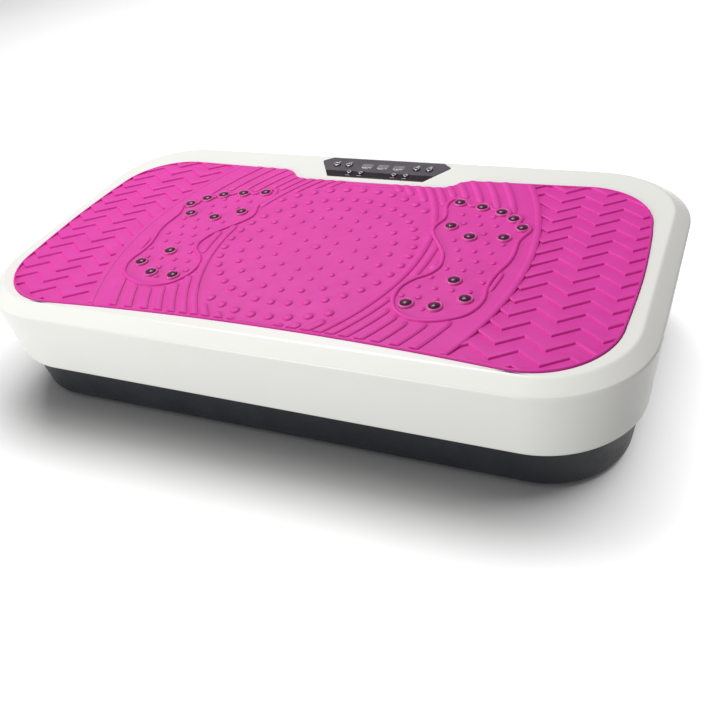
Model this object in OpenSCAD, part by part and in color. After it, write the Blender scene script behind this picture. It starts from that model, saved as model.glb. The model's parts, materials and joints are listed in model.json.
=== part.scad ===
// Rocking vibration plate: a moulded deck on a central hinge, driven by a crank.
// +X is the deck's right end, +Y its control panel, +Z up. The floor is z = 0.

/* [Deck] */
// Overall length of the deck, end to end
deck_l = 670; // [640:1:700]
// Overall width of the deck, front to rear
deck_w = 373; // [360:1:390]
// Height of the deck's flat rim above the floor
rim_z = 130; // [128:0.5:134]
// Width of the chamfer band around the rim, seen from above
chamfer_run = 15; // [10:1:18]
// How far the chamfer falls from the rim to the crease
chamfer_drop = 9; // [6:0.5:11]
// Height of the skirt's lower edge above the floor
skirt_z = 53; // [50:1:56]
// How far the skirt leans in on each side, top to bottom
skirt_lean = 7; // [5:0.5:8]
// Corner radius at the crease
crease_r = 95; // [85:1:100]
// Wall thickness of the deck shell
deck_wall = 3.5; // [3:0.1:4]

/* [Base] */
// Length of the base tub at its floor
tub_l = 632; // [620:1:636]
// Width of the base tub at its floor
tub_w = 324; // [316:1:328]
// How far the tub's walls lean out on each side
tub_lean = 7; // [5:0.5:8]
// Height of the tub's top edge above the floor
tub_top_z = 75; // [70:1:80]
// Thickness of the tub's walls and floor
tub_wall = 3; // [2.5:0.1:3.5]
// Height of the rubber feet
foot_h = 5; // [4:0.5:6]

/* [Mat] */
// Depth of the mat's recess in the rim
mat_recess = 2; // [1.5:0.1:2.5]
// Thickness of the mat
mat_t = 3.6; // [3:0.1:4]
// How far the middle of the mat's front edge bows in
mat_bow = 10.2; // [8:1:16]

/* [Rocking drive] */
// Throw of the crank, from shaft axis to eccentric axis
throw = 2.5; // [2:0.1:3]
// Distance from the rocking axis to the drive shaft
drive_x = 120; // [115:1:125]
// Height of the rocking axis
pivot_z = 70; // [68:1:72]
// Height of the drive shaft's axis
drive_z = 40; // [38:1:42]
// Height of the connecting rod's upper eye
rod_top_z = 88; // [86:1:90]
// Distance from the drive shaft to the motor shaft
belt_span = 110; // [105:1:115]

/* [Control panel] */
// Travel of each key
key_travel = 0.4; // [0.3:0.1:0.5]
// Radius of the upper row's domed keys
key_r = 4.2; // [3.8:0.1:4.4]

/* [Hidden] */
$fn = 64;
eps = 0.01;
running_gap = 0.05;
arc_steps = 10;

// Deck levels and outlines, each as [z, length, width, corner radius]
crease_z = rim_z - chamfer_drop;
skirt_section = [skirt_z, deck_l - 2 * skirt_lean, deck_w - 2 * skirt_lean - 4, crease_r - skirt_lean];
crease_section = [crease_z, deck_l, deck_w, crease_r];
rim_section = [rim_z, deck_l - 2 * chamfer_run, deck_w - 2 * chamfer_run, crease_r - chamfer_run];
ceiling_z = rim_z - 6;
mat_floor_z = rim_z - mat_recess;
mat_top_z = mat_floor_z + mat_t;

// Mat outline: corner arcs, bowed front edge, and a notch before the panel
mat_front_y = -168;
mat_rear_y = 135.5;
mat_corner_x = 232;
mat_front_r = 75;
mat_rear_r = 69;
mat_end_bow = 2;
mat_fit = 0.9985;
notch_y = 112;
notch_x = 78;
notch_r = 22;

// Magnet studs of the right foot, toes first, then ball and heel
stud_xy = [
    [114, 81], [139, 75], [161, 68], [176, 57], [188.5, 41.5],
    [119.5, 34], [143.5, 17], [176, 21],
    [152.5, -58], [171, -84], [148.5, -100], [122.5, -100.5]
];
left_shift = [2.5, 1];
left_shrink = [0.0194, 0.0472];
stud_r = 5;
rim_r = 7.6;
stud_top_z = rim_z + 4.6;

// Metal deck plate under the shell's ceiling
plate_l = 560;
plate_w = 290;
plate_t = 4;
plate_top_z = ceiling_z - 8;
plate_z = plate_top_z - plate_t;
deck_screw_xy = [for (sx = [-1, 1], sy = [-1, 1]) [sx * 262, sy * 128]];
deck_screw_r = 2;

// Rocking hinge
pivot_r = 8;
pivot_block_y = 89;
pivot_block_t = 18;
pivot_ear_y = 108;
pivot_ear_t = 8;
pivot_bearing_r = 16;

// Crank drive; the eccentric points along +X at rest
crank_x = drive_x + throw;
shaft_r = 7;
eccentric_r = 15;
rod_bearing_r = 19;
rod_big_r = 24;
rod_eye_r = 12;
rod_small_r = 17;
rod_t = 12;
drive_pin_r = 5;
drive_ear_y = 13;
drive_block_y = 28;
drive_block_t = 12;
drive_bearing_r = 13;
pulley_y = -49;
pulley_t = 12;
driven_r = 24;
motor_r = 33;
motor_pulley_r = 12;
motor_x = drive_x + belt_span;
motor_z = drive_z + 5;
motor_y0 = -34;
motor_len = 100;
motor_shaft_r = 5;
belt_t = 2.4;
belt_gap = 0.08;

// Base fittings
chassis_l = 510;
chassis_w = 260;
chassis_t = 3;
tub_floor_z = foot_h + tub_wall;
chassis_z = tub_floor_z + chassis_t;
buffer_xy = [for (sx = [-1, 1], sy = [-1, 1]) [sx * 225, sy * 105]];
buffer_r = 18;
post_top_z = 70;
foot_xy = [for (sx = [-1, 1], sy = [-1, 1]) [sx * 272, sy * 120]];
foot_r = 22;
board_x = -150;
vent_y = [-60:20:60];
vent_l = 90;
vent_w = 4;

// Lead routes, from the inlet to the board and from the board to the motor
lead_r = 2.5;
lead_z = chassis_z + 3;
board_z = chassis_z + 8;
mains_route = [[-184, 126, 31], [-184, 116, 31], [-184, 106, 22], [-182, 94, lead_z], [-165, 62, lead_z],
    [-150, 52, board_z + 0.8], [-150, 45, board_z + 0.8]];
motor_route = [[-95, 30, board_z + 0.8], [-88, 30, board_z + 0.8], [-78, 44, lead_z + 1], [-60, 66, lead_z],
    [184, 66, lead_z], [205, 76, 24], [218, 75, 34], [218, 66, 36]];

// Rear mains recess in the tub's wall
mains_x = -200;
mains_z = 31;
mains_face_y = tub_w / 2 - 12;
mains_l = 76;
mains_h = 30;
inlet_x = mains_x + 16;
switch_x = mains_x - 20;
rocker_tilt = 8;
inlet_depth = 26;
inlet_floor_y = mains_face_y + 7 - inlet_depth;

// Control panel: a six-sided bezel behind the mat's notch
bezel_xy = [[-57, 124], [57, 124], [78, 159], [68, 168], [-68, 168], [-78, 159]];
board_hole_xy = [[-56, 128], [56, 128], [69, 158], [-69, 158]];
bezel_top_z = rim_z + 0.8;
bezel_t = 3;
upper_key_y = 150;
lower_key_y = 134;
lower_key_r = 3.4;
key_gap = 0.25;
upper_key_x = [-56, -41, 41, 56];
lower_key_x = [-34, -20, 20, 34];
window_y = 152;
window_x = [-19, 0, 19];

// Points along a circular arc
function arc(c, r, a0, a1, n = arc_steps) =
    [for (i = [0:n]) let (a = a0 + (a1 - a0) * i / n) [c[0] + r * cos(a), c[1] + r * sin(a)]];

// Points of a rounded rectangle, the same count for every size
function round_rect(l, w, r) = concat(
    arc([l / 2 - r, w / 2 - r], r, 0, 90),
    arc([r - l / 2, w / 2 - r], r, 90, 180),
    arc([r - l / 2, r - w / 2], r, 180, 270),
    arc([l / 2 - r, r - w / 2], r, 270, 360)
);

// Height of the mat's front edge at x, on one wide arc
function bow_y(x) =
    let (half = mat_corner_x, big_r = (half * half + mat_bow * mat_bow) / (2 * mat_bow))
    mat_front_y + mat_bow - big_r + sqrt(big_r * big_r - x * x);

// Right half of the mat's outline, front centre to rear centre
notch_rise = mat_rear_y - 4 - notch_y;
notch_a = acos(1 - notch_rise / (2 * notch_r));
notch_run = 2 * notch_r * sin(notch_a);
mat_half = concat(
    [for (i = [0:arc_steps]) let (x = mat_corner_x * i / arc_steps) [x, bow_y(x)]],
    arc([mat_corner_x, mat_front_y + mat_front_r], mat_front_r, -85, 0),
    [[mat_corner_x + mat_front_r + mat_end_bow, -20]],
    arc([mat_corner_x + 3, mat_rear_y - mat_rear_r], mat_rear_r, 3, 90),
    arc([notch_x + notch_run, notch_y + notch_rise - notch_r], notch_r, 90, 90 + notch_a),
    arc([notch_x, notch_y + notch_r], notch_r, 270 + notch_a, 270)
);

// Solid between stacked outlines, each [z, length, width, corner radius]
module loft(sections) {
    n = 4 * (arc_steps + 1);
    rings = [for (s = sections) for (p = round_rect(s[1], s[2], s[3])) [p[0], p[1], s[0]]];
    last = len(sections) - 1;
    polyhedron(
        points = rings,
        faces = concat(
            [[for (i = [0:n - 1]) i]],
            [for (k = [0:last - 1], i = [0:n - 1])
                [k * n + i, (k + 1) * n + i, (k + 1) * n + (i + 1) % n, k * n + (i + 1) % n]],
            [[for (i = [n - 1:-1:0]) last * n + i]]
        )
    );
}

// Section made smaller by d on every side, at height z
function inset(s, d, z) = [z, s[1] - 2 * d, s[2] - 2 * d, s[3] - d];

// Round bar along Y from y0, centred at x and z
module y_bar(x, z, r, y0, len) {
    translate([x, y0, z]) rotate([-90, 0, 0]) cylinder(r = r, h = len);
}

// Round bar along Y with a round hole
module y_ring(x, z, r, hole_r, y0, len) {
    translate([x, y0, z]) rotate([-90, 0, 0]) difference() {
        cylinder(r = r, h = len);
        translate([0, 0, -1]) cylinder(r = hole_r, h = len + 2);
    }
}

// Box centred on x and y, standing on z
module block(x, y, z, l, w, h) {
    translate([x - l / 2, y - w / 2, z]) cube([l, w, h]);
}

module mat_plan() {
    polygon(concat(mat_half, [for (i = [len(mat_half) - 1:-1:1]) [-mat_half[i][0], mat_half[i][1]]]));
}

// At every stud. The left foot is the right one's mirror image, a little shorter and nearer the middle
module at_studs() {
    for (p = stud_xy) {
        up = p[1] + 100;
        translate([p[0], p[1], 0]) children();
        translate([left_shift[0] + left_shrink[0] * up - p[0], p[1] - left_shift[1] - left_shrink[1] * up, 0])
            children();
    }
}

// ---- Deck ----

module deck_shell() {
    color("ivory") difference() {
        loft([skirt_section, crease_section, rim_section]);
        loft([
            inset(skirt_section, deck_wall, skirt_z - 1),
            inset(crease_section, deck_wall, crease_z - 3),
            inset(rim_section, 0, ceiling_z)
        ]);
        translate([0, 0, mat_floor_z]) linear_extrude(mat_recess + 1) mat_plan();
        translate([0, 0, bezel_top_z - bezel_t]) linear_extrude(bezel_t + 1) polygon(bezel_xy);
        translate([0, 0, ceiling_z - 1]) linear_extrude(10) polygon(board_hole_xy);
    }
    color("ivory") for (p = deck_screw_xy) translate([p[0], p[1], plate_top_z]) difference() {
        cylinder(r = 7, h = ceiling_z - plate_top_z + eps);
        translate([0, 0, -1]) cylinder(r = deck_screw_r, h = 8);
    }
}

module mat() {
    color("deeppink") difference() {
        translate([0, 0, mat_floor_z]) linear_extrude(mat_t) mat_body_plan();
        at_studs() translate([0, 0, mat_top_z - 1]) cylinder(r = rim_r, h = 2);
    }
}

// The mat's outline a hair inside its recess
module mat_body_plan() {
    scale(mat_fit) mat_plan();
}

module stud_domes() {
    color("dimgray") at_studs() translate([0, 0, mat_top_z]) rotate_extrude()
        polygon(concat([[0, 0]], arc([0, 0], stud_r, 0, 90, 8)
            * [[1, 0], [0, (stud_top_z - mat_top_z) / stud_r]]));
}

module stud_rims() {
    color("silver") at_studs() translate([0, 0, mat_top_z - 1]) difference() {
        cylinder(r = rim_r, h = 2);
        translate([0, 0, 1]) cylinder(r = stud_r, h = 2);
    }
}

module deck_plate() {
    color("slategray") difference() {
        translate([0, 0, plate_z]) linear_extrude(plate_t) polygon(round_rect(plate_l, plate_w, 30));
        for (p = deck_screw_xy) translate([p[0], p[1], plate_z - 1])
            cylinder(r = deck_screw_r + 0.3, h = plate_t + 2);
    }
    color("slategray") for (sy = [-1, 1])
        block(0, sy * (plate_w / 2 - 1.5), plate_z - 10, plate_l - 80, 3, 10);
}

module deck_screws() {
    color("silver") for (p = deck_screw_xy) translate([p[0], p[1], plate_z - 3]) {
        cylinder(r = 4, h = 3);
        cylinder(r = deck_screw_r, h = plate_t + 9);
    }
}

module pivot_ears() {
    color("slategray") for (sy = [-1, 1]) difference() {
        union() {
            block(0, sy * pivot_ear_y, pivot_z, 36, pivot_ear_t, plate_z - pivot_z);
            y_bar(0, pivot_z, 18, sy * pivot_ear_y - pivot_ear_t / 2, pivot_ear_t);
            block(0, sy * pivot_ear_y, plate_z - 4, 70, 22, 4);
        }
        y_bar(0, pivot_z, pivot_r, -150, 300);
    }
}

module pivot_shaft() {
    color("silver") y_bar(0, pivot_z, pivot_r, -pivot_ear_y - 8, 2 * pivot_ear_y + 16);
}

module drive_ears() {
    color("slategray") for (sy = [-1, 1]) difference() {
        union() {
            block(crank_x, sy * drive_ear_y, rod_top_z, 26, 5, plate_z - rod_top_z);
            y_bar(crank_x, rod_top_z, 13, sy * drive_ear_y - 2.5, 5);
            block(crank_x, sy * (drive_ear_y + 6), plate_z - 4, 60, 16, 4);
        }
        y_bar(crank_x, rod_top_z, drive_pin_r, -40, 80);
    }
}

module drive_pin() {
    color("silver") {
        y_bar(crank_x, rod_top_z, drive_pin_r, -19, 38);
        y_bar(crank_x, rod_top_z, 8, -22, 3);
    }
}

// ---- Control panel ----

module key_holes(extra) {
    for (x = upper_key_x) translate([x, upper_key_y, bezel_top_z - 5]) cylinder(r = key_r + extra, h = 10);
    for (x = lower_key_x) translate([x, lower_key_y, bezel_top_z - 5]) cylinder(r = lower_key_r + extra, h = 10);
}

module panel_bezel() {
    color("#3a3a40") difference() {
        translate([0, 0, bezel_top_z - bezel_t]) linear_extrude(bezel_t) polygon(bezel_xy);
        key_holes(key_gap);
        for (x = window_x) block(x, window_y, bezel_top_z - 1, 14, 10, 2);
    }
}

module panel_windows() {
    color("lightslategray") for (x = window_x) block(x, window_y, bezel_top_z - 1, 14, 10, 1);
}

module panel_board() {
    color("darkgreen") block(0, 144, bezel_top_z - 8, 106, 22, 1.6);
    color("black") for (x = [-44, 0, 44]) block(x, 142, bezel_top_z - 6.4, 8, 5, 2.2);
}

// A key whose cap stands proud of the bezel, with a flange that keeps it in
module key(x, y, r, proud) {
    color("#202024") translate([x, y, bezel_top_z]) rotate_extrude()
        polygon(concat(
            [[0, -bezel_t - 1.2], [r + 0.8, -bezel_t - 1.2], [r + 0.8, -bezel_t - 0.2], [r, -bezel_t - 0.2]],
            [for (i = [0:6]) [r * cos(15 * i), 0.2 + (proud - 0.2) * sin(15 * i)]]
        ));
}

module upper_key(i) { key(upper_key_x[i], upper_key_y, key_r, 1.8); }
module lower_key(i) { key(lower_key_x[i], lower_key_y, lower_key_r, 0.9); }

// ---- Base ----

module base_tub() {
    lower = [foot_h, tub_l, tub_w, 74];
    upper = inset(lower, -tub_lean, skirt_z);
    color("#15161c") difference() {
        loft([lower, upper, inset(upper, 0, tub_top_z)]);
        loft([
            inset(lower, tub_wall, tub_floor_z),
            inset(upper, tub_wall, skirt_z),
            inset(upper, tub_wall, tub_top_z + 1)
        ]);
        block(mains_x, mains_face_y + 20, mains_z - mains_h / 2, mains_l, 40, mains_h);
        for (p = foot_xy) translate([p[0], p[1], 0]) cylinder(r = 2.4, h = 12);
        for (y = vent_y) block(0, y, 0, vent_l, vent_w, 9);
    }
    color("#15161c") for (p = foot_xy) translate([p[0], p[1], tub_floor_z - eps]) difference() {
        cylinder(r = 8, h = 16);
        translate([0, 0, -1]) cylinder(r = 2, h = 16);
    }
}

// Moulded pocket behind the tub's rear window, which holds the inlet and the switch
module mains_pocket() {
    back_y = mains_face_y - tub_wall;
    top_z = mains_z + mains_h / 2 + 3;
    color("#15161c") difference() {
        translate([mains_x - mains_l / 2 - 3, 0, 0]) rotate([90, 0, 90]) linear_extrude(mains_l + 6)
            polygon([[back_y, tub_floor_z], [inner_wall_y(tub_floor_z), tub_floor_z],
                [inner_wall_y(top_z), top_z], [back_y, top_z]]);
        block(mains_x, mains_face_y + 20, mains_z - mains_h / 2, mains_l, 40, mains_h);
        block(inlet_x, mains_face_y, mains_z - 11, 30, 20, 22);
        block(switch_x, mains_face_y, mains_z - 9, 22, 20, 18);
    }
}

// Inside face of the tub's rear wall at height z
function inner_wall_y(z) = tub_w / 2 - tub_wall + tub_lean * (z - tub_floor_z) / (skirt_z - tub_floor_z);

module chassis_plate() {
    color("gray") difference() {
        translate([0, 0, tub_floor_z]) linear_extrude(chassis_t) polygon(round_rect(chassis_l, chassis_w, 18));
        for (y = vent_y) block(0, y, 0, vent_l, vent_w, 20);
        chassis_screw_places() translate([0, 0, -1]) cylinder(r = 2.2, h = 5);
    }
}

module chassis_screw_places() {
    for (x = [-180, -60, 60, 180], sy = [-1, 1]) translate([x, sy * 122, tub_floor_z]) children();
}

module chassis_screws() {
    color("silver") chassis_screw_places() {
        cylinder(r = 2, h = chassis_t);
        translate([0, 0, chassis_t]) cylinder(r = 4, h = 2.4);
    }
}

module pivot_blocks() {
    color("darkgray") for (sy = [-1, 1]) difference() {
        union() {
            block(0, sy * pivot_block_y, chassis_z, 80, pivot_block_t, 8);
            block(0, sy * pivot_block_y, chassis_z, 44, pivot_block_t, pivot_z - chassis_z);
            y_bar(0, pivot_z, 22, sy * pivot_block_y - pivot_block_t / 2, pivot_block_t);
        }
        y_bar(0, pivot_z, pivot_bearing_r, -120, 240);
    }
}

module pivot_bearings() {
    color("silver") for (sy = [-1, 1])
        y_ring(0, pivot_z, pivot_bearing_r, pivot_r + running_gap, sy * pivot_block_y - 6, 12);
}

module buffer_posts() {
    color("dimgray") for (p = buffer_xy) translate([p[0], p[1], chassis_z]) {
        cylinder(r = buffer_r + 4, h = 5);
        cylinder(r = 14, h = post_top_z - chassis_z - 4);
        translate([0, 0, post_top_z - chassis_z - 4]) cylinder(r = buffer_r + 1, h = 4);
    }
}

module buffers() {
    color("#222222") for (p = buffer_xy) translate([p[0], p[1], post_top_z]) rotate_extrude()
        polygon(concat([[0, 0]], [for (i = [0:8]) [buffer_r - 4 * sin(22.5 * i), (plate_z - post_top_z) * i / 8]],
            [[0, plate_z - post_top_z]]));
}

module drive_blocks() {
    color("darkgray") for (sy = [-1, 1]) difference() {
        union() {
            block(drive_x, sy * drive_block_y, chassis_z, 70, drive_block_t, 6);
            block(drive_x, sy * drive_block_y, chassis_z, 36, drive_block_t, drive_z - chassis_z);
            y_bar(drive_x, drive_z, 18, sy * drive_block_y - drive_block_t / 2, drive_block_t);
        }
        y_bar(drive_x, drive_z, drive_bearing_r, -60, 120);
    }
}

module drive_bearings() {
    color("silver") for (sy = [-1, 1])
        y_ring(drive_x, drive_z, drive_bearing_r, shaft_r + running_gap, sy * drive_block_y - 5, 10);
}

module motor_can() {
    color("#4a4c50") difference() {
        union() {
            y_bar(motor_x, motor_z, motor_r, motor_y0, motor_len);
            y_bar(motor_x, motor_z, 12, motor_y0 - 3, 4);
        }
        y_bar(motor_x, motor_z, motor_shaft_r + running_gap, motor_y0 - 5, motor_len - 10);
    }
}

module motor_cradle() {
    color("gray") for (y = [motor_y0 + 14, motor_y0 + motor_len - 26]) difference() {
        block(motor_x, y + 6, chassis_z, 84, 12, 26);
        y_bar(motor_x, motor_z, motor_r, y - 5, 22);
    }
}

// Flat belt around two pulleys: two wraps and two straight runs
module belt() {
    lift = motor_z - drive_z;
    span = norm([belt_span, lift]);
    slope = atan2(lift, belt_span);
    color("#1a1a1a") translate([drive_x, pulley_y - pulley_t / 2 + 1.5, drive_z])
        rotate([90, -slope, 0]) mirror([0, 0, 1]) linear_extrude(pulley_t - 3) difference() {
            polygon(belt_loop(span, belt_gap + belt_t));
            polygon(belt_loop(span, belt_gap));
        }
}

// Outline that stands off both pulleys by the same distance
function belt_loop(span, off) =
    let (wrap = acos((driven_r - motor_pulley_r) / span))
    concat(
        arc([0, 0], driven_r + off, wrap, 360 - wrap, 4 * arc_steps),
        arc([span, 0], motor_pulley_r + off, -wrap, wrap, 4 * arc_steps)
    );

module control_board() {
    color("darkgreen") block(board_x, 0, board_z, 110, 90, 1.6);
    color("dimgray") {
        block(board_x - 25, 15, board_z + 1.6, 30, 24, 22);
        block(board_x + 30, -20, board_z + 1.6, 24, 40, 26);
        block(board_x + 20, 28, board_z + 1.6, 36, 12, 10);
    }
    color("black") for (x = [-35, -15]) translate([board_x + x, -28, board_z + 1.6]) cylinder(r = 8, h = 24);
}

module board_posts() {
    color("goldenrod") for (sx = [-1, 1], sy = [-1, 1])
        translate([board_x + sx * 49, sy * 39, chassis_z]) cylinder(r = 3, h = 8);
}

// Mains and motor leads, tied down along the chassis
module wire_loom() {
    color("black") {
        tube(mains_route, lead_r, [1, 0, 0]);
        tube(motor_route, lead_r, [0, 0, 1]);
    }
}

// Eight-sided tube along a route; side is a direction that the route never follows
module tube(route, r, side, n = 8) {
    last = len(route) - 1;
    rings = [for (i = [0:last])
        let (
            before = route[max(i - 1, 0)],
            after = route[min(i + 1, last)],
            t = (after - before) / norm(after - before),
            u = cross(t, side) / norm(cross(t, side)),
            v = cross(t, u)
        )
        for (k = [0:n - 1]) route[i] + r * (cos(360 * k / n) * u + sin(360 * k / n) * v)];
    polyhedron(
        points = rings,
        faces = concat(
            [[for (k = [0:n - 1]) k]],
            [for (i = [0:last - 1], k = [0:n - 1]) [i * n + k, (i + 1) * n + k, (i + 1) * n + (k + 1) % n]],
            [for (i = [0:last - 1], k = [0:n - 1]) [i * n + k, (i + 1) * n + (k + 1) % n, i * n + (k + 1) % n]],
            [[for (k = [n - 1:-1:0]) last * n + k]]
        )
    );
}

module power_inlet() {
    color("#101014") difference() {
        union() {
            block(inlet_x, mains_face_y + 2 - inlet_depth / 2, mains_z - 11, 30, inlet_depth, 22);
            block(inlet_x, mains_face_y + 1, mains_z - 13, 34, 2, 26);
        }
        translate([inlet_x - 12, inlet_floor_y, mains_z - 8]) cube([24, 40, 16]);
    }
}

module inlet_pins() {
    color("gold") for (p = [[-7, -2], [0, 3], [7, -2]])
        translate([inlet_x + p[0] - 1, inlet_floor_y, mains_z + p[1] - 2]) cube([2, 14, 4]);
}

module switch_frame() {
    color("#101014") difference() {
        union() {
            block(switch_x, mains_face_y - 7, mains_z - 9, 22, 18, 18);
            block(switch_x, mains_face_y + 1, mains_z - 12, 26, 2, 24);
        }
        block(switch_x, mains_face_y + 5, mains_z - 8, 19, 22, 16);
    }
}

// Rocker: two slightly folded faces, with a round pin at each end of its axis
module power_rocker() {
    color("firebrick") translate([switch_x, mains_face_y, mains_z]) rotate([90, 0, 90]) {
        rotate([0, 0, -rocker_tilt]) translate([0, 0, -9]) linear_extrude(18)
            polygon([[-5, -5], [-5, 5], [1.5, 7], [2.8, 7], [1.6, 0], [2.8, -7], [1.5, -7]]);
        translate([0, 0, -9.45]) cylinder(r = 1.2, h = 18.9);
    }
}

module feet() {
    color("#202020") for (p = foot_xy) translate([p[0], p[1], 0]) difference() {
        cylinder(r1 = foot_r - 1.5, r2 = foot_r, h = foot_h);
        translate([0, 0, -1]) cylinder(r = 7, h = 1 + foot_h / 2);
        cylinder(r = 2.4, h = foot_h + 1);
    }
}

module foot_screws() {
    color("silver") for (p = foot_xy) translate([p[0], p[1], 0.6]) {
        cylinder(r = 5, h = foot_h / 2 - 0.6);
        cylinder(r = 2, h = 20);
    }
}

// ---- Turning parts ----

module drive_shaft() {
    color("silver") y_bar(drive_x, drive_z, shaft_r, pulley_y - pulley_t / 2 - 4, 100);
}

module eccentric() {
    color("lightsteelblue") difference() {
        y_bar(crank_x, drive_z, eccentric_r, -rod_t / 2 - 1, rod_t + 2);
        y_bar(drive_x, drive_z, shaft_r, -20, 40);
    }
}

module driven_pulley() {
    color("dimgray") difference() {
        union() {
            y_bar(drive_x, drive_z, driven_r, pulley_y - pulley_t / 2, pulley_t);
            y_bar(drive_x, drive_z, driven_r + 3, pulley_y + pulley_t / 2 - 1, 1);
            y_bar(drive_x, drive_z, driven_r + 3, pulley_y - pulley_t / 2, 1);
        }
        y_bar(drive_x, drive_z, shaft_r, -80, 80);
        for (a = [0:60:300])
            y_bar(drive_x + 15 * cos(a), drive_z + 15 * sin(a), 4, -80, 80);
    }
}

module con_rod() {
    color("lightslategray") difference() {
        union() {
            y_bar(crank_x, drive_z, rod_big_r, -rod_t / 2, rod_t);
            y_bar(crank_x, rod_top_z, rod_small_r, -rod_t / 2, rod_t);
            block(crank_x, 0, drive_z, 18, rod_t, rod_top_z - drive_z);
        }
        y_bar(crank_x, drive_z, rod_bearing_r, -20, 40);
        y_bar(crank_x, rod_top_z, rod_eye_r, -20, 40);
    }
}

module rod_bearing() {
    color("silver") y_ring(crank_x, drive_z, rod_bearing_r, eccentric_r + running_gap, -rod_t / 2, rod_t);
}

module rod_bush() {
    color("#2a2a2a") y_ring(crank_x, rod_top_z, rod_eye_r, drive_pin_r + running_gap, -rod_t / 2, rod_t);
}

module motor_shaft() {
    color("silver") y_bar(motor_x, motor_z, motor_shaft_r, pulley_y - pulley_t / 2 - 2, 106);
}

module motor_pulley() {
    color("dimgray") difference() {
        union() {
            y_bar(motor_x, motor_z, motor_pulley_r, pulley_y - pulley_t / 2, pulley_t);
            y_bar(motor_x, motor_z, motor_pulley_r + 3, pulley_y + pulley_t / 2 - 1, 1);
            y_bar(motor_x, motor_z, motor_pulley_r + 3, pulley_y - pulley_t / 2, 1);
        }
        y_bar(motor_x, motor_z, motor_shaft_r, -80, 80);
    }
}

deck_shell();
mat();
stud_domes();
stud_rims();
deck_plate();
deck_screws();
pivot_ears();
pivot_shaft();
drive_ears();
drive_pin();
panel_bezel();
panel_windows();
panel_board();
upper_key(0);  // key_up
upper_key(1);  // key_down
upper_key(2);  // key_start
upper_key(3);  // key_stop
lower_key(0);  // key_mode
lower_key(1);  // key_speed
lower_key(2);  // key_timer
lower_key(3);  // key_program
base_tub();
chassis_plate();
chassis_screws();
pivot_blocks();
pivot_bearings();
buffer_posts();
buffers();
drive_blocks();
drive_bearings();
motor_can();
motor_cradle();
belt();
control_board();
board_posts();
wire_loom();
mains_pocket();
power_inlet();
inlet_pins();
switch_frame();
feet();
foot_screws();
drive_shaft();
eccentric();
driven_pulley();
con_rod();
rod_bearing();
rod_bush();
motor_shaft();
motor_pulley();
power_rocker();
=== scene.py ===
"""Looks for the rocking vibration plate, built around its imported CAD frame.

Metres in the CAD frame: +X is the deck's right end, +Y its control panel, +Z up.
The shape helpers below work in millimetres and scale on the way out.
"""
import json
import math

import bmesh
import bpy
import numpy as np
from mathutils import Matrix, Vector

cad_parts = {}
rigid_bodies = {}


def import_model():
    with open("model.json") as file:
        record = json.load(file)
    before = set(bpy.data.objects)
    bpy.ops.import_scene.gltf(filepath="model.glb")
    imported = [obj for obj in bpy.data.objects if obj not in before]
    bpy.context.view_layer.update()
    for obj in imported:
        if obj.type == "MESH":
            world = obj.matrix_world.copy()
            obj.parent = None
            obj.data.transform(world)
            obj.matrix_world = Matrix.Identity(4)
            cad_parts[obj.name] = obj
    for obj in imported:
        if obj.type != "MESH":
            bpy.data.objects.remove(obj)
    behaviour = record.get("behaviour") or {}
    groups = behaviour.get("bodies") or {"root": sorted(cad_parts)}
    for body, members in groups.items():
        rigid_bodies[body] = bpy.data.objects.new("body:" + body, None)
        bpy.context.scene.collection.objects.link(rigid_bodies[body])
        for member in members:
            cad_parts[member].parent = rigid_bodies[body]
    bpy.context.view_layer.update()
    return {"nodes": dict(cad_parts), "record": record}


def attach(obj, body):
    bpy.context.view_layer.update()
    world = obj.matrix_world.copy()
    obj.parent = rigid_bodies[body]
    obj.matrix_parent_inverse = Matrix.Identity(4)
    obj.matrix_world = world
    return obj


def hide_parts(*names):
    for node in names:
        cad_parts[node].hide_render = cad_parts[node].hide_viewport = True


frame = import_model()

MM = 0.001

# ---------------------------------------------------------------- sizes, mm
DECK_L, DECK_W = 670, 373
RIM_Z, CREASE_Z, SKIRT_Z, CEILING_Z = 130, 121, 53, 124
SKIRT = (SKIRT_Z, 656, 355, 88)
CREASE = (CREASE_Z, DECK_L, DECK_W, 95)
RIM = (RIM_Z, 640, 343, 80)
DECK_WALL = 3.5

MAT_FLOOR_Z, MAT_TOP_Z = 128, 131.6
MAT_GAP = 0.45
MAT_FRONT_Y, MAT_REAR_Y, MAT_BOW = -168, 135.5, 10.2
NOTCH_X, NOTCH_Y, NOTCH_R = 78, 112, 22
CUT_Z = (120, 140)

STUD_XY = [(114, 81), (139, 75), (161, 68), (176, 57), (188.5, 41.5), (119.5, 34), (143.5, 17),
           (176, 21), (152.5, -58), (171, -84), (148.5, -100), (122.5, -100.5)]
STUD_R, STUD_RIM_R, STUD_TOP_Z = 5, 7.6, 134.6
LEFT_SHIFT, LEFT_SHRINK, LEFT_HEEL_Y = (2.5, 1), (0.0194, 0.0472), -100

PANEL_XY = [(-57, 124), (57, 124), (78, 159), (68, 168), (-68, 168), (-78, 159)]
BOARD_HOLE_XY = [(-56, 128), (56, 128), (69, 158), (-69, 158)]
PANEL_TOP_Z, PANEL_T = 130.8, 3

TUB_LOW = (5, 632, 324, 74)
TUB_MID = (53, 646, 338, 81)
TUB_TOP = (75, 646, 338, 81)
TUB_WALL = 3
FOOT_XY = [(sx * 272, sy * 120) for sx in (-1, 1) for sy in (-1, 1)]
FOOT_HOLE_R = 2.4
INLET_CUT = (-238, -162, 140, 180, 16, 46)


# ---------------------------------------------------------------- outlines
def arc(cx, cy, r, a0, a1, n):
    """Points of an arc from angle a0 to a1 in degrees, with both ends."""
    a = np.radians(np.linspace(a0, a1, n + 1))
    return np.stack([cx + r * np.cos(a), cy + r * np.sin(a)], 1)


def circle(x, y, r, n=28):
    return arc(x, y, r, 0, 360, n)[:-1]


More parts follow.
